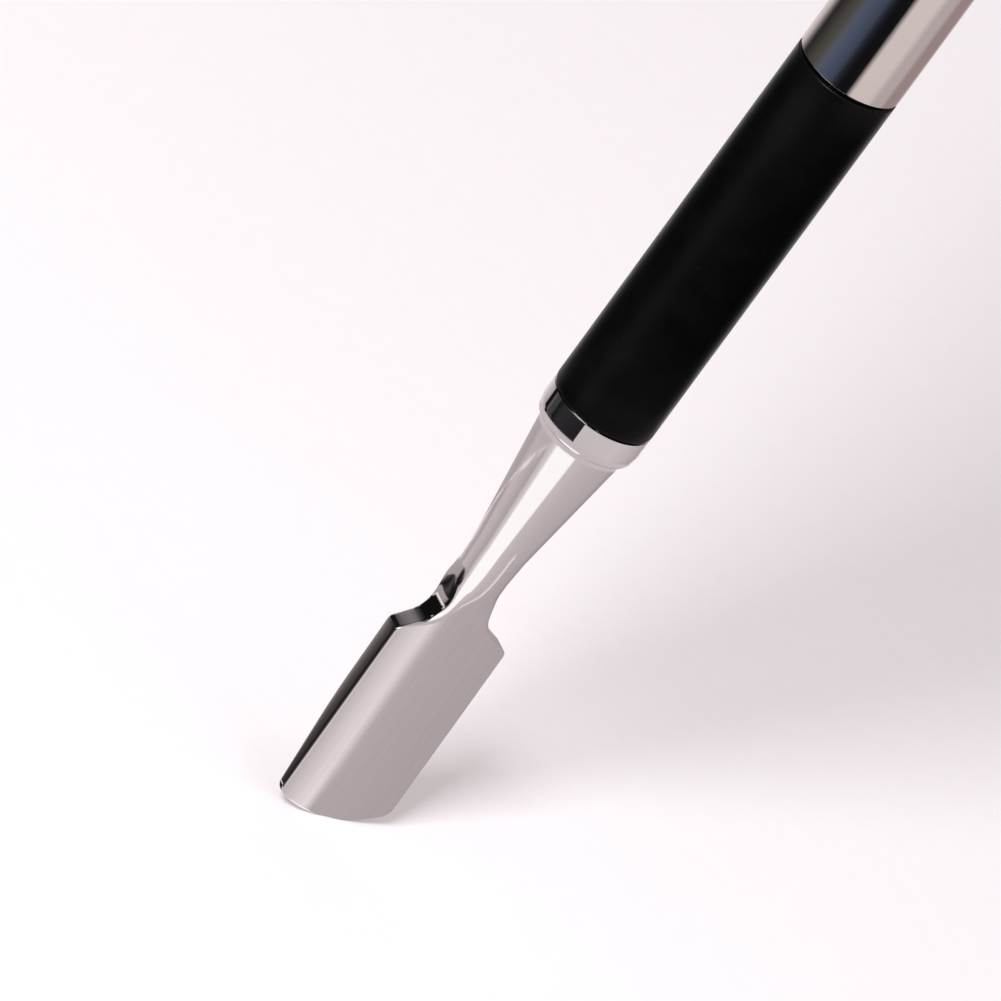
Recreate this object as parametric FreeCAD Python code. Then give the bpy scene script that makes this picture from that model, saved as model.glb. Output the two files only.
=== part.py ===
import FreeCAD, Part
import math
import os
from FreeCAD import Vector

# Double-ended cuticle pusher, in millimetres.
# The handle's axis is Z. The wide square tip points down and its end is at z = 0.
# X runs across the blades, and the ground working faces look along -Y.

# ---- Driving dimensions ----
BARREL_D = 7.0           # polished middle of the handle
CENTRE_LEN = 21.0        # length of the polished middle between the two grips
GRIP_LEN = 27.5          # length of each soft grip
COLLAR_LEN = 2.25        # height of each collar that shows between grip and neck
FRONT_TIP_LEN = 31.3     # wide tip, from its end to where its neck enters the collar
REAR_TIP_LEN = 27.7      # narrow tip, measured the same way

FRONT_BLADE_W = 8.6      # wide blade, side to side
REAR_BLADE_W = 5.0       # narrow blade, side to side
FRONT_SHOULDER_Z = 14.95 # height of the wide blade's shoulders above its end
REAR_SHOULDER_Z = 11.0   # height of the narrow blade's shoulders above its end

# ---- Handle section ----
BARREL_R = BARREL_D / 2
GRIP_R = BARREL_R - 0.01     # the grips and collars lie flush with the barrel
COLLAR_R = BARREL_R - 0.02
SEAT_R = 2.7                 # turned-down seats under the grips
BORE_R = 2.0                 # bore right through the barrel
SHANK_R = 1.3                # shank of each tip
BUSH_LEN = 9.0               # bush pressed into each end of the bore
SHANK_LEN = 10.5             # runs through the bush and a little past it
EDGE_BREAK = 0.35            # chamfer at each end of the polished middle
GRIP_OUTER_ROUND = 0.35      # rounding on the end of each grip beside its collar
GRIP_INNER_ROUND = 0.3       # and on the end beside the polished middle
GROOVE_COUNT = 3             # retaining grooves in each seat
GROOVE_DEPTH = 0.2
GROOVE_W = 1.6

# ---- Collar and neck ----
LIP_LEN = 0.6                # depth of the recess in the collar that takes the neck's head
NECK_HEAD_R = 2.99           # neck where it enters the collar
RECESS_R = 3.01              # recess around the neck's head
COLLAR_BOTTOM_R = 3.10       # inner edge of the collar's rounded lower end
COLLAR_ROUND_H = 0.86        # height of that rounding
NECK_WAIST_R = 1.66          # thinnest part of the neck
NECK_WAIST_DROP = 12.2       # distance of the waist below the collar, on the wide tip
NECK_CONE_DROP = 9.7         # the straight cone ends here, and its radius is NECK_CONE_R
NECK_CONE_R = 1.81

# ---- Blades ----
FACE_Y = -1.4                # ground working face where it meets the neck's waist
FACE_LEAN = math.radians(0.75)   # the face leans out by this from the waist to the blade's end
TIP_THICK = 0.5              # blade thickness at its end
BELLY_THICK = 1.18           # and where its rounded back is fullest
BELLY_SHARE = 0.55           # height of that place, as a share of the shoulder's height
ROOT_THICK = 1.26            # blade thickness at its shoulders
END_R = 8.4                  # convex end of the wide blade
END_SLOPE = math.radians(26.5)
END_CORNER_R = 0.9           # rounded end corners of the wide blade
SHOULDER_SLOPE = math.radians(27.0)
SHOULDER_CORNER_R = 0.55
SHOULDER_FILLET_R = 2.4      # hollow between neck and shoulder

# ---- Heights along the handle, from the wide tip's end upwards ----
FRONT_CREASE_Z = FRONT_TIP_LEN
FRONT_GRIP_Z = FRONT_CREASE_Z + COLLAR_LEN
CENTRE_Z0 = FRONT_GRIP_Z + GRIP_LEN
CENTRE_Z1 = CENTRE_Z0 + CENTRE_LEN
REAR_GRIP_TOP_Z = CENTRE_Z1 + GRIP_LEN
REAR_CREASE_Z = REAR_GRIP_TOP_Z + COLLAR_LEN
TOTAL_LEN = REAR_CREASE_Z + REAR_TIP_LEN


def rounded_wire(corners, place):
    """Closed wire through corners (a, b, radius), each corner rounded by its radius."""
    points = [Vector(a, b, 0) for a, b, _ in corners]
    edges = []
    ends = []
    for i, (_, _, radius) in enumerate(corners):
        here, before, after = points[i], points[i - 1], points[(i + 1) % len(points)]
        to_before = (before - here).normalize()
        to_after = (after - here).normalize()
        half = to_before.getAngle(to_after) / 2
        if radius == 0:
            ends.append((here, here, here))
            continue
        tangent = radius / math.tan(half)
        middle = (to_before + to_after).normalize() * (radius / math.sin(half) - radius)
        ends.append((here + to_before * tangent, here + middle, here + to_after * tangent))
    for i, (start, mid, end) in enumerate(ends):
        if start != end:
            edges.append(Part.Arc(place(start), place(mid), place(end)).toShape())
        following = ends[(i + 1) % len(ends)][0]
        if end.distanceToPoint(following) > 1e-6:
            edges.append(Part.LineSegment(place(end), place(following)).toShape())
    return Part.Wire(edges)


def turned(corners):
    """Solid turned about Z from a closed profile of (radius, height, rounding)."""
    wire = rounded_wire(corners, lambda p: Vector(p.x, 0, p.y))
    return Part.Face(wire).revolve(Vector(0, 0, 0), Vector(0, 0, 1), 360)


def plate_across(corners, reach):
    """Prism along Y, from -reach to +reach, of an outline in X and Z."""
    wire = rounded_wire(corners, lambda p: Vector(p.x, -reach, p.y))
    return Part.Face(wire).extrude(Vector(0, 2 * reach, 0))


def plate_side(corners, reach):
    """Prism along X, from -reach to +reach, of a profile in Y and Z."""
    wire = rounded_wire(corners, lambda p: Vector(-reach, p.x, p.y))
    return Part.Face(wire).extrude(Vector(2 * reach, 0, 0))


def turned_end_for_end(shape, length):
    """The same shape on the other end of something of this length, still facing -Y."""
    shape = shape.copy()
    shape.rotate(Vector(0, 0, 0), Vector(0, 1, 0), 180)
    shape.translate(Vector(0, 0, length))
    return shape


def groove_heights(seat_z0):
    """Middle heights of the retaining grooves of the seat that starts at seat_z0."""
    pitch = GRIP_LEN / (GROOVE_COUNT + 1)
    return [seat_z0 + pitch * (i + 1) for i in range(GROOVE_COUNT)]


def grooved_line(z0, base_r, change):
    """Profile corners up a grip seat, stepping by change at each retaining groove."""
    corners = []
    for z in groove_heights(z0):
        corners += [(base_r, z - GROOVE_W / 2, 0), (base_r + change, z - GROOVE_W / 2 + 0.2, 0),
                    (base_r + change, z + GROOVE_W / 2 - 0.2, 0), (base_r, z + GROOVE_W / 2, 0)]
    return corners


def barrel():
    """Stainless tube: polished middle, and a turned-down grooved seat at each end."""
    nose0 = FRONT_CREASE_Z + LIP_LEN
    nose1 = REAR_CREASE_Z - LIP_LEN
    corners = [(BORE_R, nose0, 0), (SEAT_R, nose0, 0)]
    corners += grooved_line(FRONT_GRIP_Z, SEAT_R, -GROOVE_DEPTH)
    corners += [(SEAT_R, CENTRE_Z0, 0), (BARREL_R - EDGE_BREAK, CENTRE_Z0, 0),
                (BARREL_R, CENTRE_Z0 + EDGE_BREAK, 0), (BARREL_R, CENTRE_Z1 - EDGE_BREAK, 0),
                (BARREL_R - EDGE_BREAK, CENTRE_Z1, 0), (SEAT_R, CENTRE_Z1, 0)]
    corners += grooved_line(CENTRE_Z1, SEAT_R, -GROOVE_DEPTH)
    corners += [(SEAT_R, nose1, 0), (BORE_R, nose1, 0)]
    return turned(corners)


def front_grip():
    """Soft sleeve over a seat, with beads inside that sit in the seat's grooves."""
    z0 = FRONT_GRIP_Z
    z1 = CENTRE_Z0
    inside = [(SEAT_R, z0, 0)] + grooved_line(z0, SEAT_R, -GROOVE_DEPTH) + [(SEAT_R, z1, 0)]
    outside = [(GRIP_R, z1, GRIP_INNER_ROUND), (GRIP_R, z0, GRIP_OUTER_ROUND)]
    return turned(inside + outside)


def front_collar():
    """Polished ring over the barrel's nose, held by the neck's head in its recess."""
    z0 = FRONT_CREASE_Z
    z1 = FRONT_GRIP_Z
    return turned([(RECESS_R, z0 + 0.12, 0), (COLLAR_BOTTOM_R, z0, 0),
                   (COLLAR_R - 0.12, z0 + 0.1, 0.2), (COLLAR_R, z0 + COLLAR_ROUND_H, 0.9),
                   (COLLAR_R, z1 - 0.15, 0), (COLLAR_R - 0.15, z1, 0),
                   (SEAT_R, z1, 0), (SEAT_R, z0 + LIP_LEN, 0), (RECESS_R, z0 + LIP_LEN, 0)])


def front_bush():
    """Bush pressed into the barrel's bore, which grips the tip's shank."""
    z0 = FRONT_CREASE_Z + LIP_LEN
    z1 = z0 + BUSH_LEN
    return turned([(SHANK_R, z0 + 0.2, 0), (SHANK_R + 0.2, z0, 0), (BORE_R, z0, 0),
                   (BORE_R, z1 - 0.3, 0), (BORE_R - 0.2, z1, 0), (SHANK_R, z1, 0)])


def neck(crease_z, waist_z, root_z):
    """Shank, head, cone and waist of a tip, turned in one piece down to root_z."""
    head_z = crease_z + LIP_LEN
    cone_z = crease_z - NECK_CONE_DROP
    return turned([(0, root_z, 0), (NECK_WAIST_R, root_z, 0), (NECK_WAIST_R, waist_z, 0),
                   (NECK_CONE_R, cone_z, 9.0), (NECK_HEAD_R, crease_z, 0),
                   (NECK_HEAD_R, head_z, 0), (SHANK_R + 0.2, head_z, 0),
                   (SHANK_R, head_z + 0.2, 0), (SHANK_R, head_z + SHANK_LEN - 0.3, 0),
                   (SHANK_R - 0.3, head_z + SHANK_LEN, 0), (0, head_z + SHANK_LEN, 0)])


def square_end(half):
    """Lower corners of the wide blade, from its right side to its left."""
    lowest = -END_R * (1 / math.cos(END_SLOPE) - 1)
    side = lowest + half * math.tan(END_SLOPE)
    return [(half, side, END_CORNER_R), (0, lowest, END_R), (-half, side, END_CORNER_R)]


def round_end(half):
    """Lower corners of the narrow blade, rounded into a half circle."""
    return [(half, 0, half * 0.98), (-half, 0, half * 0.98)]


def blade_outline(end, half, shoulder_z, fillet_r, top_z):
    """Blade seen from the front: end, sides, shoulders and hollows up to the neck."""
    hip = NECK_WAIST_R - 0.06
    hip_z = shoulder_z + (half - hip) * math.tan(SHOULDER_SLOPE)
    right = [(hip, top_z, 0), (hip, hip_z, fillet_r), (half, shoulder_z, SHOULDER_CORNER_R)]
    left = [(-x, z, r) for x, z, r in reversed(right)]
    return right + end + left


def blade_profile(shoulder_z, waist_z, top_z):
    """Blade seen from the side: flat face in front, full back that swells into the neck."""
    wide = 2 * BARREL_R
    belly_z = BELLY_SHARE * shoulder_z
    root_z = shoulder_z + 0.2

    def face(z):
        return FACE_Y - (waist_z - z) * math.tan(FACE_LEAN)

    return [(face(-0.5), -0.5, 0), (face(waist_z), waist_z, 7.0),
            (FACE_Y - 0.7, waist_z + 3.0, 0), (-wide, waist_z + 3.0, 0), (-wide, top_z, 0),
            (wide, top_z, 0), (wide, waist_z + 0.4, 0), (NECK_WAIST_R + 0.1, waist_z + 0.2, 3.0),
            (face(root_z) + ROOT_THICK, root_z, 3.0), (face(belly_z) + BELLY_THICK, belly_z, 50.0),
            (face(-0.5) + TIP_THICK, -0.5, 0)]


def tip(length, half, end, shoulder_z, waist_drop, fillet_r):
    """One tip in one piece, standing on its end at z = 0: blade, neck and shank."""
    waist_z = length - waist_drop
    blade_top = waist_z + 1.0
    body = neck(length, waist_z, shoulder_z - 1.0)
    flat = plate_across(blade_outline(end, half, shoulder_z, fillet_r, blade_top), 2 * BARREL_R)
    flat = flat.common(Part.makeBox(20, 2 * NECK_WAIST_R, 60, Vector(-10, -NECK_WAIST_R, -5)))
    side = plate_side(blade_profile(shoulder_z, waist_z, length + 20), 2 * BARREL_R)
    return body.fuse(flat).common(side).removeSplitter()


def front_tip():
    """Wide tip with a square, slightly convex end."""
    half = FRONT_BLADE_W / 2
    return tip(FRONT_TIP_LEN, half, square_end(half), FRONT_SHOULDER_Z,
               NECK_WAIST_DROP, SHOULDER_FILLET_R)


def rear_tip():
    """Narrow tip with a rounded end."""
    half = REAR_BLADE_W / 2
    return tip(REAR_TIP_LEN, half, round_end(half), REAR_SHOULDER_Z,
               NECK_WAIST_DROP, SHOULDER_FILLET_R)


def main():
    os.makedirs("parts", exist_ok=True)
    pieces = {
        "barrel": barrel(),
        "front_grip": front_grip(),
        "rear_grip": turned_end_for_end(front_grip(), FRONT_CREASE_Z + REAR_CREASE_Z),
        "front_collar": front_collar(),
        "rear_collar": turned_end_for_end(front_collar(), FRONT_CREASE_Z + REAR_CREASE_Z),
        "front_bush": front_bush(),
        "rear_bush": turned_end_for_end(front_bush(), FRONT_CREASE_Z + REAR_CREASE_Z),
        "wide_tip": front_tip(),
        "narrow_tip": turned_end_for_end(rear_tip(), TOTAL_LEN),
    }
    for name, shape in pieces.items():
        box = shape.BoundBox
        print(f"{name:14} valid {shape.isValid()} solids {len(shape.Solids)} "
              f"volume {shape.Volume:8.2f} z {box.ZMin:7.2f} to {box.ZMax:7.2f}")
        shape.exportStep(f"parts/{name}.step")


main()
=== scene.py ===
import math

import bpy
from mathutils import Matrix, Vector


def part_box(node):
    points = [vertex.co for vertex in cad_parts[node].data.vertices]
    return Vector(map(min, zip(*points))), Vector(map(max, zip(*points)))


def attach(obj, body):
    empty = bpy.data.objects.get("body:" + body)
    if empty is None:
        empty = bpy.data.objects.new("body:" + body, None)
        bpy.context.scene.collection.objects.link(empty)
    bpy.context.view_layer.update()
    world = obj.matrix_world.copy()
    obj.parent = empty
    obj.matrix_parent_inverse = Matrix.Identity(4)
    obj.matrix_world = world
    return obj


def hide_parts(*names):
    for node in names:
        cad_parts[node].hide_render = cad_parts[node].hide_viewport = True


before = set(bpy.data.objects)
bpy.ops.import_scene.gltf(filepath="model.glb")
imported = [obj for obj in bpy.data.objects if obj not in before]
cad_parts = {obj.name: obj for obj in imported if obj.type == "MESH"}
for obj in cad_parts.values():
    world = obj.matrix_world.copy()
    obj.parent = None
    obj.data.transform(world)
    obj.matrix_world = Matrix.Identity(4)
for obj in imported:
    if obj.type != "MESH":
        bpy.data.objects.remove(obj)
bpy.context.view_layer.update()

MM = 0.001
TAU = 2 * math.pi
CAMERA_TURN = -42.2       # degrees about the handle, from straight in front of the blades


# ================================================================ sizes read from the frame
def node_r(name):
    """Largest radius of a turned node."""
    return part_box(name)[1].x


BARREL_R = node_r("barrel")
GRIP_R = node_r("front_grip")
COLLAR_R = node_r("front_collar")
BORE_R = node_r("front_bush")
HEAD_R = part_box("wide_tip")[1].y
CREASE_Z, GRIP_Z0 = (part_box("front_collar")[i].z for i in (0, 1))
GRIP_Z1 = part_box("front_grip")[1].z
CENTRE_Z1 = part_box("rear_grip")[0].z
REAR_CREASE_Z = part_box("rear_collar")[1].z
TOP_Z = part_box("narrow_tip")[1].z
NOSE_Z0, NOSE_Z1 = (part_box("barrel")[i].z for i in (0, 1))
SHANK_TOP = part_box("wide_tip")[1].z
WIDE_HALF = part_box("wide_tip")[1].x
SEAT_R = 2.7 * MM
SHANK_R = 1.3 * MM
RECESS_R = HEAD_R + 0.02 * MM


# ================================================================ mesh building
def rounded(corners, steps=7):
    """Points along an open path through corners (a, b, radius), rounding each inner corner."""
    points = [Vector((a, b)) for a, b, _ in corners]
    path = [points[0]]
    for i in range(1, len(corners) - 1):
        here, radius = points[i], corners[i][2]
        before, after = (points[i - 1] - here).normalized(), (points[i + 1] - here).normalized()
        half = before.angle(after) / 2
        if radius == 0:
            path.append(here)
            continue
        reach = radius / math.tan(half)
        centre = here + (before + after).normalized() * (radius / math.sin(half))
        start, end = here + before * reach - centre, here + after * reach - centre
        turn = start.angle_signed(end)
        path += [centre + Matrix.Rotation(-turn * k / steps, 2) @ start for k in range(steps + 1)]
    path.append(points[-1])
    return path


def new_piece(name, verts, faces, materials, body="root"):
    """Mesh object with smooth shading that keeps flats flat and real edges crisp."""
    mesh = bpy.data.meshes.new(name)
    mesh.from_pydata(verts, [], faces)
    for mat in materials:
        mesh.materials.append(mat)
    mesh.polygons.foreach_set("use_smooth", [True] * len(mesh.polygons))
    mesh.set_sharp_from_angle(angle=math.radians(40))
    mesh.update()
    piece = bpy.data.objects.new(name, mesh)
    bpy.context.collection.objects.link(piece)
    weighted = piece.modifiers.new("flats", "WEIGHTED_NORMAL")
    weighted.keep_sharp = True
    weighted.weight = 80
    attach(piece, body)
    return piece


def turned(name, corners, materials, segments=192):
    """Ring turned about Z from a closed profile of (radius, height, rounding)."""
    loop = rounded(corners + [corners[0]])[:-1]
    verts = [(p.x * math.cos(TAU * k / segments), p.x * math.sin(TAU * k / segments), p.y)
             for k in range(segments) for p in loop]
    size = len(loop)
    faces = []
    for k in range(segments):
        here, there = k * size, (k + 1) % segments * size
        for i in range(size):
            j = (i + 1) % size
            faces.append((here + i, there + i, there + j, here + j))
    return new_piece(name, verts, faces, materials)


def smooth_step(low, high, value):
    """0 below low and 1 above high, with a soft change between them."""
    t = min(max((value - low) / (high - low), 0.0), 1.0)
    return t * t * (3 - 2 * t)


def along(path, height):
    """Width of a path of (width, height) points at a height, path running downwards."""
    for upper, lower in zip(path, path[1:]):
        if lower.y <= height <= upper.y and upper.y > lower.y:
            return lower.x + (upper.x - lower.x) * (height - lower.y) / (upper.y - lower.y)
    return path[0].x if height > path[0].y else path[-1].x


def densified(path, spacing):
    """The path with points added so that no step is longer than spacing."""
    out = []
    for a, b in zip(path, path[1:]):
        if (b - a).length < 1e-9:
            continue
        parts = max(1, math.ceil((b - a).length / spacing))
        out += [a + (b - a) * k / parts for k in range(parts)]
    out.append(path[-1])
    return out


# ================================================================ materials
class Shader:
    """A material's node tree with a short way to add and join nodes."""

    def __init__(self, name):
        self.mat = bpy.data.materials.new(name)
        self.mat.use_nodes = True
        self.nodes = self.mat.node_tree.nodes
        self.bsdf = self.nodes["Principled BSDF"]
        self.place = self.add("ShaderNodeTexCoord").outputs["Object"]

    def add(self, kind, inputs=None, **settings):
        node = self.nodes.new(kind)
        for key, value in settings.items():
            setattr(node, key, value)
        for key, value in (inputs or {}).items():
            if isinstance(value, bpy.types.NodeSocket):
                self.mat.node_tree.links.new(value, node.inputs[key])
            else:
                node.inputs[key].default_value = value
        return node

    def set(self, **inputs):
        for key, value in inputs.items():
            socket = self.bsdf.inputs[key.replace("_", " ")]
            if isinstance(value, bpy.types.NodeSocket):
                self.mat.node_tree.links.new(value, socket)
            else:
                socket.default_value = value

    def noise(self, scale, stretch=(1, 1, 1), detail=3.0, roughness=0.5):
        """Noise over the piece: scale is in features per millimetre, along the stretched axes."""
        mapping = self.add("ShaderNodeMapping", {"Vector": self.place,
                                                 "Scale": tuple(1000 * scale * v for v in stretch)})
        return self.add("ShaderNodeTexNoise", {"Vector": mapping.outputs["Vector"], "Scale": 1.0,
                                               "Detail": detail, "Roughness": roughness}).outputs["Fac"]

    def ranged(self, value, low, high, from_low=0.3, from_high=0.7):
        """A noise value moved to the range low to high."""
        return self.add("ShaderNodeMapRange", {"Value": value, "From Min": from_low, "From Max": from_high,
                                               "To Min": low, "To Max": high}).outputs["Result"]

    def math(self, operation, a, b):
        return self.add("ShaderNodeMath", {0: a, 1: b}, operation=operation).outputs[0]

    def colour(self, factor, first, second):
        return self.add("ShaderNodeMix", {"Factor": factor, 6: (*first, 1), 7: (*second, 1)},
                        data_type="RGBA").outputs[2]

    def bump(self, height, distance, strength=1.0, normal=None):
        inputs = {"Height": height, "Distance": distance, "Strength": strength}
        if normal:
            inputs["Normal"] = normal
        return self.add("ShaderNodeBump", inputs).outputs["Normal"]


def polished_steel(name, tint, rough, hairline):
    """Mirror steel with fine lines along Z, soft smears and rare pin marks."""
    s = Shader(name)
    lines = s.noise(12, (1, 1, 0.03), detail=4)
    smears = s.noise(0.35, (1, 1, 0.5), detail=5, roughness=0.6)
    marks = s.noise(3.0, detail=2)
    base = s.colour(s.ranged(smears, 0, 1, 0.35, 0.7), tint, tuple(0.94 * c for c in tint))
    uneven = s.math("ADD", s.ranged(smears, rough * 0.7, rough * 1.5),
                    s.ranged(lines, 0.0, hairline, 0.45, 0.75))
    uneven = s.math("ADD", uneven, s.ranged(marks, 0.0, 0.10, 0.72, 0.8))
    s.set(Base_Color=base, Metallic=1.0, Roughness=uneven, Normal=s.bump(lines, 0.00002 * MM, 0.3))
    return s.mat


def ground_steel(name, tint):
    """Blade steel: mirror polished, with the ground faces in a fine lengthwise satin."""
    s = Shader(name)
    ground = s.add("ShaderNodeAttribute", attribute_name="ground").outputs["Fac"]
    streaks = s.noise(6.0, (1, 1, 0.035), detail=5, roughness=0.6)
    bands = s.noise(0.9, (1, 1, 0.06), detail=3)
    smears = s.noise(0.4, detail=5, roughness=0.6)
    pits = s.noise(4.5, detail=1)
    satin = s.math("ADD", s.ranged(streaks, 0.08, 0.14), s.ranged(bands, -0.02, 0.03))
    gloss = s.ranged(smears, 0.04, 0.09)
    rough = s.add("ShaderNodeMix", {"Factor": ground, 2: gloss, 3: satin}, data_type="FLOAT").outputs[0]
    fine = s.noise(5.0, (1, 1, 0.02), detail=6, roughness=0.7)
    worn = s.math("ADD", s.math("MULTIPLY", s.ranged(fine, 0, 0.45), ground), s.ranged(bands, 0, 0.35))
    tone = s.colour(worn, tint, tuple(0.9 * c for c in tint))
    pit = s.math("MULTIPLY", s.ranged(pits, 0, 0.6, 0.77, 0.83), ground)
    base = s.add("ShaderNodeMix", {"Factor": pit, 6: tone, 7: (0.28, 0.25, 0.24, 1)},
                 data_type="RGBA").outputs[2]
    grain = s.math("MULTIPLY", streaks, ground)
    s.set(Base_Color=base, Metallic=1.0, Roughness=rough, Normal=s.bump(grain, 0.0012 * MM, 0.4))
    return s.mat


def soft_rubber(name):
    """Matte soft-touch rubber: fine mould texture, faint handling marks, a little sheen."""
    s = Shader(name)
    grain = s.noise(14, detail=3)
    cloud = s.noise(0.5, detail=4)
    dust = s.noise(5.0, detail=1)
    base = s.colour(s.ranged(cloud, 0, 1), (0.0013, 0.0012, 0.0012), (0.0020, 0.0018, 0.0019))
    speck = s.ranged(dust, 0, 1, 0.77, 0.81)
    base = s.add("ShaderNodeMix", {"Factor": s.math("MULTIPLY", speck, 0.1), 6: base,
                                   7: (0.12, 0.11, 0.11, 1)}, data_type="RGBA").outputs[2]
    s.set(Base_Color=base, Roughness=s.ranged(cloud, 0.32, 0.40), Specular_IOR_Level=0.14,
          Normal=s.bump(grain, 0.006 * MM, 0.3))
    return s.mat


def turned_brass(name):
    """Plain turned brass with fine rings round Z."""
    s = Shader(name)
    rings = s.noise(10, (0.02, 0.02, 1), detail=3)
    tone = s.colour(s.ranged(rings, 0, 1), (0.72, 0.55, 0.27), (0.62, 0.46, 0.21))
    s.set(Base_Color=tone, Metallic=1.0, Roughness=s.ranged(rings, 0.22, 0.38),
          Normal=s.bump(rings, 0.004 * MM, 0.5))
    return s.mat


STEEL_TINT = (0.85, 0.83, 0.825)
BARREL_STEEL = polished_steel("barrel_steel", STEEL_TINT, 0.06, 0.05)
COLLAR_STEEL = polished_steel("collar_steel", STEEL_TINT, 0.045, 0.02)
BLADE_STEEL = ground_steel("blade_steel", STEEL_TINT)
RUBBER = soft_rubber("grip_rubber")
BRASS = turned_brass("bush_brass")


# ================================================================ handle
def build_barrel():
    chamfer, soft = 0.3 * MM, 0.06 * MM
    middle = [(SEAT_R, GRIP_Z1, 0), (BARREL_R - chamfer, GRIP_Z1, soft),
              (BARREL_R, GRIP_Z1 + chamfer, soft), (BARREL_R, CENTRE_Z1 - chamfer, soft),
              (BARREL_R - chamfer, CENTRE_Z1, soft), (SEAT_R, CENTRE_Z1, 0)]
    ends = [(SEAT_R, NOSE_Z1, 0), (BORE_R, NOSE_Z1, 0), (BORE_R, NOSE_Z0, 0), (SEAT_R, NOSE_Z0, 0)]
    piece = turned("barrel_skin", middle + ends, [BARREL_STEEL])
    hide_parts("barrel")


def build_grip(node, collar_end, barrel_end):
    """Sleeve with a soft lip at the collar and a crisp one at the polished middle."""
    piece = turned(node + "_skin", [(SEAT_R, collar_end, 0), (GRIP_R, collar_end, 0.2 * MM),
                                    (GRIP_R, barrel_end, 0.12 * MM), (SEAT_R, barrel_end, 0)], [RUBBER])
    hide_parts(node)


def build_collar(node, crease, grip_end):
    """Collar between the crease round the neck and the end of the grip, whichever way up."""
    way = 1 if grip_end > crease else -1
    top = abs(grip_end - crease) / MM
    profile = [(RECESS_R, 0.12, 0), (RECESS_R + 0.09 * MM, 0, 0.02), (COLLAR_R - 0.12 * MM, 0.1, 0.22),
               (COLLAR_R, 0.86, 0.9), (COLLAR_R, top - 0.06, 0.02), (COLLAR_R - 0.06 * MM, top, 0.01),
               (SEAT_R, top, 0), (SEAT_R, 0.6, 0), (RECESS_R, 0.6, 0)]
    corners = [(r, crease + way * h * MM, e * MM) for r, h, e in profile]
    piece = turned(node + "_skin", corners, [COLLAR_STEEL])
    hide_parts(node)


# ================================================================ tips
FACE_POINTS = 23          # points across a flat face, counting both edges
SIDE_POINTS = 5           # points down a side wall, between its rounded edges
EDGE_STEPS = 4            # steps round one edge
FACE_Y = -1.4 * MM
FACE_LEAN = math.tan(math.radians(0.75))
WAIST_R, WAIST_DROP = 1.66 * MM, 12.2 * MM          # drops are below the crease
CONE_R, CONE_DROP = 1.81 * MM, 9.7 * MM
HEAD_RISE = 0.6 * MM
TIP_THICK, BELLY_THICK, ROOT_THICK = 0.5 * MM, 1.18 * MM, 1.26 * MM
BELLY_SHARE = 0.55        # height of the thickest part of the blade, as a share of its shoulder
SHOULDER_SLOPE = math.tan(math.radians(27))
SHOULDER_FILLET_R, SHOULDER_CORNER_R = 2.4 * MM, 0.55 * MM
WIDE_SHOULDER_Z, NARROW_SHOULDER_Z, NARROW_HALF = 14.95 * MM, 11.0 * MM, 2.5 * MM
END_R, END_SLOPE, END_CORNER_R = 8.4 * MM, math.radians(26.5), 0.9 * MM
END_FLAT = 0.02 * MM      # half width left at the very end, so that the end face isn't a point


def tip_loop(half, height, outward, front, rear, front_round, back_round, ring_r, square):
    """One ring of points round a tip: a circle where square is 0, the blade's section where it is 1.

    half and height place the blade's edge, and outward is the edge's own direction outwards.
    front and rear are the Y of the ground face and of the back."""
    right = []
    arc = [math.radians(90 * k / EDGE_STEPS) for k in range(EDGE_STEPS + 1)]
    for angle in arc:
        right.append((front_round * (1 - math.sin(angle)), front + front_round * (1 - math.cos(angle))))
    low, high = front + front_round, rear - back_round
    right += [(0.0, low + (high - low) * k / (SIDE_POINTS + 1)) for k in range(1, SIDE_POINTS + 1)]
    for angle in arc:
        right.append((back_round * (1 - math.cos(angle)), rear - back_round * (1 - math.sin(angle))))
    side = [(half - outward.x * inset, y, height - outward.y * inset) for inset, y in right]
    face = []
    for k in range(1, FACE_POINTS - 1):
        share = -math.cos(math.pi * k / (FACE_POINTS - 1))
        face.append((side[0][0] * share, side[0][1], side[0][2]))
    rear_face = [(side[-1][0] * -x / max(side[0][0], 1e-9), side[-1][1], side[-1][2]) for x, _, _ in face]
    left = [(-x, y, z) for x, y, z in reversed(side)]
    blade = face + side + rear_face + left
    ring = []
    spread = math.radians(12)
    corner = math.radians(45)

    def fan(start, end, count, inner):
        step = (end - start) / (count + 1 if inner else count - 1)
        return [start + step * (k + 1 if inner else k) for k in range(count)]

    angles = fan(-3 * corner + spread, -corner - spread, FACE_POINTS - 2, True)
    side_angles = fan(-corner - spread, corner + spread, len(side), False)
    angles += side_angles
    angles += fan(corner + spread, 3 * corner - spread, FACE_POINTS - 2, True)
    angles += [a + math.pi for a in side_angles]
    for angle in angles:
        ring.append((ring_r * math.cos(angle), ring_r * math.sin(angle), height))
    return [tuple(r + (b - r) * square for r, b in zip(p, q)) for p, q in zip(ring, blade)]


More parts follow.
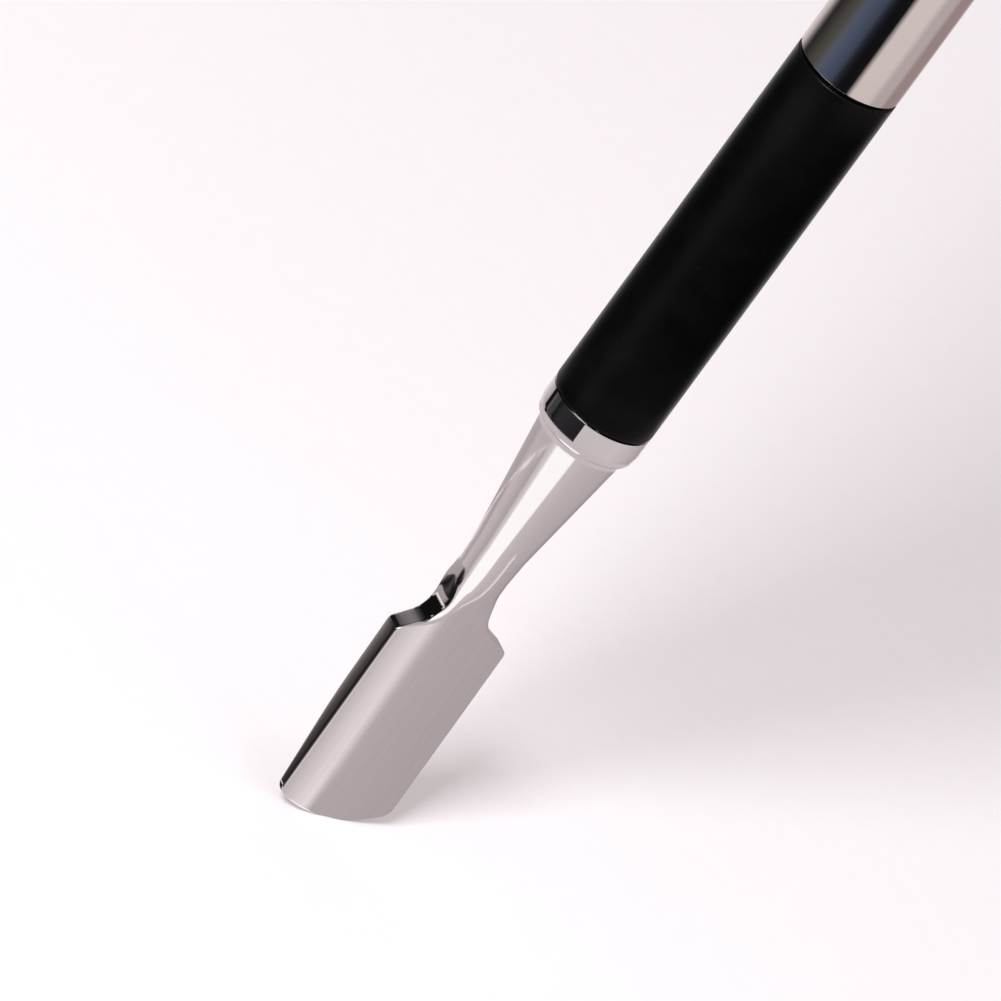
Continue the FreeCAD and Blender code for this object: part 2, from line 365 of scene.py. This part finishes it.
def build_tip(node, half, end_path, shoulder, length, upside_down):
    """A tip with its end at z = 0: shank, head, cone, waist, shoulders and ground blade."""
    waist = length - WAIST_DROP
    head_top = length + HEAD_RISE
    shank_top = head_top + (SHANK_TOP - CREASE_Z - HEAD_RISE)
    cone = rounded([(SHANK_R - 0.3 * MM, shank_top, 0), (SHANK_R, shank_top - 0.3 * MM, 0),
                    (SHANK_R, head_top + 0.2 * MM, 0), (SHANK_R + 0.2 * MM, head_top, 0),
                    (HEAD_R, head_top, 0), (HEAD_R, length, 0.4 * MM),
                    (CONE_R, length - CONE_DROP, 9 * MM), (WAIST_R, waist, 0)], steps=16)

    def face(z):
        return FACE_Y - (waist - z) * FACE_LEAN

    root, belly = shoulder + 0.2 * MM, BELLY_SHARE * shoulder
    back_path = rounded([(WAIST_R + 0.1 * MM, waist + 2 * MM, 0),
                         (WAIST_R + 0.05 * MM, waist + 0.3 * MM, 3 * MM),
                         (face(root) + ROOT_THICK, root, 3 * MM),
                         (face(belly) + BELLY_THICK, belly, 50 * MM),
                         (face(0) + TIP_THICK, 0, 0)], steps=12)
    hip = WAIST_R - 0.06 * MM
    hip_z = shoulder + (half - hip) * SHOULDER_SLOPE
    outline = rounded([(hip, waist, 0), (hip, hip_z, SHOULDER_FILLET_R),
                       (half, shoulder, SHOULDER_CORNER_R)] + end_path, steps=10)
    rows, ground = [], []
    path = [p for p in densified(cone, 0.6 * MM) if p.y > waist + 0.05 * MM]
    path += [p for p in densified(outline, 0.35 * MM) if p.y < waist - 0.05 * MM]
    for i, p in enumerate(path):
        before, after = path[max(i - 1, 0)], path[min(i + 1, len(path) - 1)]
        way = (after - before).normalized()
        square = 1 - smooth_step(waist - 1.9 * MM, waist + 0.5 * MM, p.y)
        outward = Vector((-way.y, way.x)) if square else Vector((1, 0))
        beside = smooth_step(0.2, 1.0, outward.x)
        hollow = 0.3 * smooth_step(shoulder + 0.3 * MM, shoulder + 1.8 * MM, p.y)
        crisp = min((0.05 + 0.09 * beside + hollow + 0.5 * (1 - square)) * MM, p.x)
        front, back = face(p.y), along(back_path, p.y)
        back_edge = min(0.10 * MM + 0.4 * MM * (1 - square), p.x, 0.45 * (back - front))
        rows.append(tip_loop(p.x, p.y, outward, front, back, crisp, back_edge,
                             p.x if p.y > waist else WAIST_R, square))
        ground.append(square)
    count = len(rows[0])
    verts = [v for row in rows for v in row]
    faces = []
    for i in range(len(rows) - 1):
        for k in range(count):
            j = (k + 1) % count
            faces.append((i * count + k, (i + 1) * count + k, (i + 1) * count + j, i * count + j))
    faces.append(tuple(range(count)))
    faces.append(tuple(reversed(range(len(verts) - count, len(verts)))))
    if upside_down:
        verts = [(-x, y, TOP_Z - z) for x, y, z in verts]
    piece = new_piece(node + "_skin", verts, faces, [BLADE_STEEL])
    mask = piece.data.attributes.new("ground", "FLOAT", "POINT")
    inner = set(range(FACE_POINTS - 2)) | {FACE_POINTS - 2, count - 1}
    mask.data.foreach_set("value", [g * (k in inner) for g in ground for k in range(count)])
    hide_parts(node)


def square_end(half):
    """Right-hand side of the wide blade's end, down to its lowest point."""
    meeting = -END_R * (1 / math.cos(END_SLOPE) - 1)
    side = meeting + half * math.tan(END_SLOPE)
    far_up = 99 * MM
    arc = rounded([(half, far_up, 0), (half, side, END_CORNER_R), (0, meeting, 0)], steps=8)[1:-1]
    curve = []
    for k in range(1, 20):
        across = math.sin(END_SLOPE) * (1 - k / 20)
        curve.append((END_R * across, END_R * (1 - math.cos(math.asin(across))), 0))
    return [(p.x, p.y, 0) for p in arc] + curve + [(END_FLAT, 0, 0)]


def round_end(half):
    """Right-hand side of the narrow blade's end, down to its lowest point."""
    steps = 24
    angles = [math.radians(90 * k / steps) for k in range(steps)]
    return [(half * math.cos(a), half * (1 - math.sin(a)), 0) for a in angles] + [(END_FLAT, 0, 0)]


build_barrel()
build_grip("front_grip", GRIP_Z0, GRIP_Z1)
build_grip("rear_grip", REAR_CREASE_Z - (GRIP_Z0 - CREASE_Z), CENTRE_Z1)
build_collar("front_collar", CREASE_Z, GRIP_Z0)
build_collar("rear_collar", REAR_CREASE_Z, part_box("rear_grip")[1].z)
build_tip("wide_tip", WIDE_HALF, square_end(WIDE_HALF), WIDE_SHOULDER_Z, CREASE_Z, False)
build_tip("narrow_tip", NARROW_HALF, round_end(NARROW_HALF), NARROW_SHOULDER_Z,
          TOP_Z - REAR_CREASE_Z, True)
for bush in ("front_bush", "rear_bush"):
    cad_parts[bush].data.materials.clear()
    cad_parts[bush].data.materials.append(BRASS)


# ================================================================ camera
def aim_camera():
    """Long lens at the photograph's angle: turned about the handle, raised and rolled."""
    azimuth, elevation, roll = (math.radians(a) for a in (CAMERA_TURN, 27.1, 36.18))
    picture, sensor, lens = 1001, 36.0, 500.0
    scale = 16530.0                       # pixels per metre at the handle
    target = Vector((0, 0, 32.75 * MM))
    off_right, off_up = 97.1, 85.55      # where the target lies from the picture's middle
    back = Vector((math.sin(azimuth) * math.cos(elevation),
                   -math.cos(azimuth) * math.cos(elevation), math.sin(elevation)))
    level = Vector((math.cos(azimuth), math.sin(azimuth), 0))
    upright = back.cross(level)
    right = math.cos(roll) * level + math.sin(roll) * upright
    up = math.cos(roll) * upright - math.sin(roll) * level
    data = bpy.data.cameras.new("camera")
    data.lens, data.sensor_width = lens, sensor
    data.clip_start, data.clip_end = 0.05, 20
    camera = bpy.data.objects.new("camera", data)
    bpy.context.collection.objects.link(camera)
    camera.matrix_world = Matrix((right, up, back)).transposed().to_4x4()
    distance = picture * lens / sensor / scale
    camera.location = target + back * distance - (right * off_right + up * off_up) / scale
    bpy.context.scene.camera = camera


# ================================================================ stage and light
CAMERA_SIDE = math.radians(CAMERA_TURN - 90)


def around(radius, turn, z):
    """Point at a radius in mm, a turn in degrees from the camera's side and a height in mm."""
    angle = CAMERA_SIDE + math.radians(turn)
    return (radius * MM * math.cos(angle), radius * MM * math.sin(angle), z * MM)


def staged(name, verts, faces, mat):
    """Part of the studio, which isn't part of the tool."""
    mesh = bpy.data.meshes.new(name)
    mesh.from_pydata(verts, [], faces)
    mesh.materials.append(mat)
    piece = bpy.data.objects.new(name, mesh)
    bpy.context.collection.objects.link(piece)
    return piece


def build_floor():
    s = Shader("floor_paper")
    grain = s.noise(0.6, detail=4)
    s.set(Base_Color=s.colour(s.ranged(grain, 0, 1), (0.90, 0.860, 0.872), (0.912, 0.873, 0.884)),
          Roughness=0.75, Normal=s.bump(grain, 0.01 * MM, 0.2))
    reach = 3.0
    staged("floor", [(-reach, -reach, 0), (reach, -reach, 0), (reach, reach, 0), (-reach, reach, 0)],
           [(0, 1, 2, 3)], s.mat)


def light_level(shade):
    """Brightness that a card needs so that polished steel shows this display shade, 0 to 255."""
    return [((v / 255 + 0.055) / 1.055) ** 2.4 / STEEL_TINT[0] for v in shade]


def glow(name):
    """Light given off in the colour of each corner's shade."""
    mat = bpy.data.materials.new(name)
    mat.use_nodes = True
    nodes, links = mat.node_tree.nodes, mat.node_tree.links
    nodes.clear()
    shade = nodes.new("ShaderNodeAttribute")
    shade.attribute_name = "shade"
    emission = nodes.new("ShaderNodeEmission")
    output = nodes.new("ShaderNodeOutputMaterial")
    links.new(shade.outputs["Color"], emission.inputs["Color"])
    links.new(emission.outputs[0], output.inputs["Surface"])
    return mat


def hide(piece):
    """Leaves a studio card in reflections only."""
    piece.visible_camera = False
    piece.visible_diffuse = False
    piece.visible_shadow = False
    piece.visible_transmission = False
    piece.visible_volume_scatter = False


def unseen(name, verts, faces, shades):
    """Glowing card in reflections only, shaded by its corners."""
    piece = staged(name, verts, faces, glow(name))
    piece.data.attributes.new("shade", "FLOAT_COLOR", "POINT").data.foreach_set("color", shades)
    hide(piece)


def card(name, z0, z1, radius, stops):
    """Curved studio card round the tool, seen only in reflections, shaded from stop to stop.

    A stop is its turn in degrees from the camera's side, and a display shade."""
    verts, shades = [], []
    for (turn_a, shade_a), (turn_b, shade_b) in zip(stops, stops[1:]):
        steps = max(1, round((turn_b - turn_a) / 4))
        for k in range(steps + 1):
            share = k / steps
            shade = light_level(a + (b - a) * share for a, b in zip(shade_a, shade_b))
            for z in (z0, z1):
                verts.append(around(radius, turn_a + (turn_b - turn_a) * share, z))
                shades += shade + [1.0]
    faces = [(2 * k, 2 * k + 2, 2 * k + 3, 2 * k + 1) for k in range(len(verts) // 2 - 1)]
    unseen(name, verts, faces, shades)


def sheet(name, far_end, top, stops):
    """Studio card in front of the ground face: along the floor, then upright at the far end.

    It lies across the way the face reflects the camera, and everything is in millimetres. A stop is
    the place across that way, the distance where the card starts there, and a display shade."""
    way = math.radians(-CAMERA_TURN - 90)
    ahead, across = Vector((math.cos(way), math.sin(way))), Vector((-math.sin(way), math.cos(way)))
    verts, shades = [], []
    for place, start, shade in stops:
        for reach, z in ((start, 0.05), (far_end, 0.05), (far_end, top)):
            spot = (across * place + ahead * reach) * MM
            verts.append((spot.x, spot.y, z * MM))
            shades += light_level(shade) + [1.0]
    faces = [(3 * k + i, 3 * k + i + 1, 3 * k + i + 4, 3 * k + i + 3)
             for k in range(len(stops) - 1) for i in (0, 1)]
    unseen(name, verts, faces, shades)


def ring(name, inner, outer, stops):
    """Flat studio card just over the floor, shaded by turn like the upright ones."""
    verts, shades = [], []
    for turn, shade in stops:
        for radius in (inner, outer):
            verts.append(around(radius, turn, 0.04))
            shades += light_level(shade) + [1.0]
    faces = [(2 * k, 2 * k + 1, 2 * k + 3, 2 * k + 2) for k in range(len(stops) - 1)]
    unseen(name, verts, faces, shades)


def room(name, radius, z0, z1, turn_from, turn_to):
    """Large curved card behind the tool, with light and dark patches for the hollows to show."""
    steps = 24
    turns = [turn_from + (turn_to - turn_from) * k / steps for k in range(steps + 1)]
    verts = [around(radius, turn, z) for turn in turns for z in (z0, z1)]
    faces = [(2 * k, 2 * k + 1, 2 * k + 3, 2 * k + 2) for k in range(steps)]
    s = Shader(name)
    patches = s.noise(0.045, (1, 1, 1.4), detail=2)
    level = s.ranged(patches, 0.006, 0.95, 0.55, 0.62)
    emission = s.add("ShaderNodeEmission", {"Color": (1.0, 0.97, 0.96, 1), "Strength": level})
    s.mat.node_tree.links.new(emission.outputs[0], s.nodes["Material Output"].inputs["Surface"])
    hide(staged(name, verts, faces, s.mat))


def build_cards():
    """Studio round the polished metal: the rear end, the barrel, and so on down to the floor."""
    black, beige, warm, rose = (17, 17, 20), (203, 192, 189), (176, 164, 163), (150, 131, 131)
    slate, olive, pearl, white = (72, 80, 100), (68, 65, 60), (216, 207, 209), (255, 252, 253)
    soot, ash, dusk, silver = (70, 67, 66), (60, 58, 60), (90, 86, 88), (190, 180, 182)
    card("card_rear", 96, 139, 14,
         [(-180, white), (-140, (184, 174, 176)), (-112, soot), (-92, black), (-70, soot),
          (-46, warm), (-20, white), (20, white), (50, (184, 174, 176)), (84, dusk),
          (104, (60, 57, 56)), (130, warm), (160, pearl), (180, white)])
    card("card_barrel", 50.5, 82, 20,
         [(-180, pearl), (-138, beige), (-124, warm), (-112, (110, 104, 102)), (-101, (40, 39, 40)),
          (-92, (50, 48, 46)), (-76, olive), (-62, (78, 74, 72)), (-50, (82, 87, 100)),
          (-34, slate), (-18, (62, 68, 84)), (-8, (32, 34, 40)), (2, black), (18, black),
          (23, (150, 140, 138)), (28, beige), (62, beige), (76, warm), (94, warm), (106, rose),
          (140, rose), (160, pearl), (180, pearl)])
    card("card_sleeve", 28.2, 51.5, 14,
         [(-180, white), (-142, white), (-118, dusk), (-100, black), (-56, black),
          (-44, (150, 148, 152)), (-28, (150, 148, 152)), (-14, ash), (0, black),
          (100, black), (120, dusk), (146, white), (180, white)])
    card("card_sleeve_top", 51.5, 55.3, 14,
         [(-180, white), (-142, white), (-118, dusk), (-100, black), (-66, black),
          (-58, (200, 196, 198)), (-12, (200, 196, 198)), (-4, ash), (10, black),
          (100, black), (120, dusk), (146, white), (180, white)])
    card("card_crease", 27.0, 28.0, 7.5, [(-180, (196, 186, 188)), (180, (196, 186, 188))])
    card("card_collar", 28.0, 31.8, 7.5,
         [(-180, pearl), (-125, pearl), (-100, (176, 166, 168)), (-94, (160, 150, 152)),
          (-93, black), (-84, black), (-80, (96, 94, 96)), (-76, (62, 60, 62)), (-66, (62, 60, 62)),
          (-62, (20, 20, 22)), (-50, (44, 43, 46)), (-10, (34, 32, 34)), (-7, (34, 32, 34)),
          (-6, (196, 188, 190)), (60, (200, 192, 194)), (90, (188, 178, 180)), (130, (160, 150, 152))])
    card("card_neck", 13.2, 26.1, 9,
         [(-46, silver), (-34, (214, 205, 207)), (-29, white), (13, white),
          (18, (198, 188, 190)), (50, (186, 176, 178)), (110, (176, 166, 168)),
          (140, (150, 140, 142)), (180, warm)])
    ring("card_floor", 5.6, 40,
         [(-185, warm), (-140, (204, 194, 196)), (-118, (160, 150, 152)), (-100, (192, 182, 184)),
          (-74, (184, 174, 176)), (-58, (170, 160, 162)), (-44, silver),
          (60, (196, 186, 188)), (175, warm)])
    ring("card_blade_foot", 2.2, 5.6, [(-150, (120, 114, 114)), (-90, soot), (-40, black)])
    card("card_hollow_top", 16.2, 17.0, 5.6,
         [(-150, warm), (-74, (160, 152, 153)), (-66, black), (-44, (30, 29, 29))])
    card("card_hollow", 15.2, 16.2, 5.6,
         [(-150, warm), (-104, (150, 142, 143)), (-94, (60, 57, 56)), (-88, black),
          (-80, soot), (-72, black), (-44, (30, 29, 29))])
    card("card_blade_side", 0.1, 15.2, 5.6,
         [(-150, (128, 122, 122)), (-62, (136, 130, 129)), (-57, (110, 105, 104)), (-53, (72, 69, 68)),
          (-49, (48, 45, 45)), (-46, (26, 25, 25)), (-40, (28, 27, 27)), (-26, (80, 76, 77)),
          (-12, (205, 197, 199)), (25, (216, 207, 209))])
    sheet("card_face", 8, 17,
          [(-9, 0.4, (188, 178, 180)), (-4.2, 0.4, silver), (-3.4, 0.4, (212, 203, 205)),
           (-2.6, 0.5, (232, 223, 225)), (-2.1, 0.6, (178, 168, 170)), (0, 0.9, (176, 166, 168)),
           (2, 3.6, (172, 162, 164)), (9, 4.4, (168, 158, 160))])
    card("card_far", 0.1, 14, 40,
         [(-190, warm), (-150, (176, 166, 168)), (-118, (168, 158, 160)), (-100, (186, 176, 178)),
          (-46, (178, 168, 170))])
    room("card_room", 40, 14, 90, -190, -110)
    room("card_room_left", 40, 7, 90, -110, -46)


def build_flag():
    """Dark card that only takes light away, for the soft shade that falls past the tool."""
    s = Shader("flag")
    s.set(Base_Color=(0.02, 0.02, 0.02, 1))
    across = Vector((0.469, -0.883))
    foot_half, foot_z, top_half, top_z = 3, 26, 17, 112
    corners = ((-foot_half, foot_z), (foot_half, foot_z), (top_half, top_z), (-top_half, top_z))
    verts = [(across.x * side * MM, across.y * side * MM, z * MM) for side, z in corners]
    piece = staged("flag", verts, [(0, 1, 2, 3)], s.mat)
    hide(piece)
    piece.visible_glossy = False
    piece.visible_shadow = True


def build_light():
    """Even pale surroundings and one soft lamp from the left."""
    world = bpy.data.worlds.new("studio")
    bpy.context.scene.world = world
    world.use_nodes = True
    background = world.node_tree.nodes["Background"]
    background.inputs["Color"].default_value = (1.0, 0.94, 0.945, 1)
    background.inputs["Strength"].default_value = 0.64
    data = bpy.data.lights.new("key", "AREA")
    data.energy, data.size = 6.8, 0.24
    data.color = (0.975, 1.0, 1.025)
    key = bpy.data.objects.new("key", data)
    bpy.context.collection.objects.link(key)
    key.location = (-0.597, -0.317, 0.55)
    aim = Vector((0, 0, 0.05))
    key.rotation_mode = "QUATERNION"
    key.rotation_quaternion = (key.location - aim).to_track_quat("Z", "Y")


aim_camera()
build_floor()
build_cards()
build_flag()
build_light()
bpy.context.scene.view_settings.view_transform = "Standard"
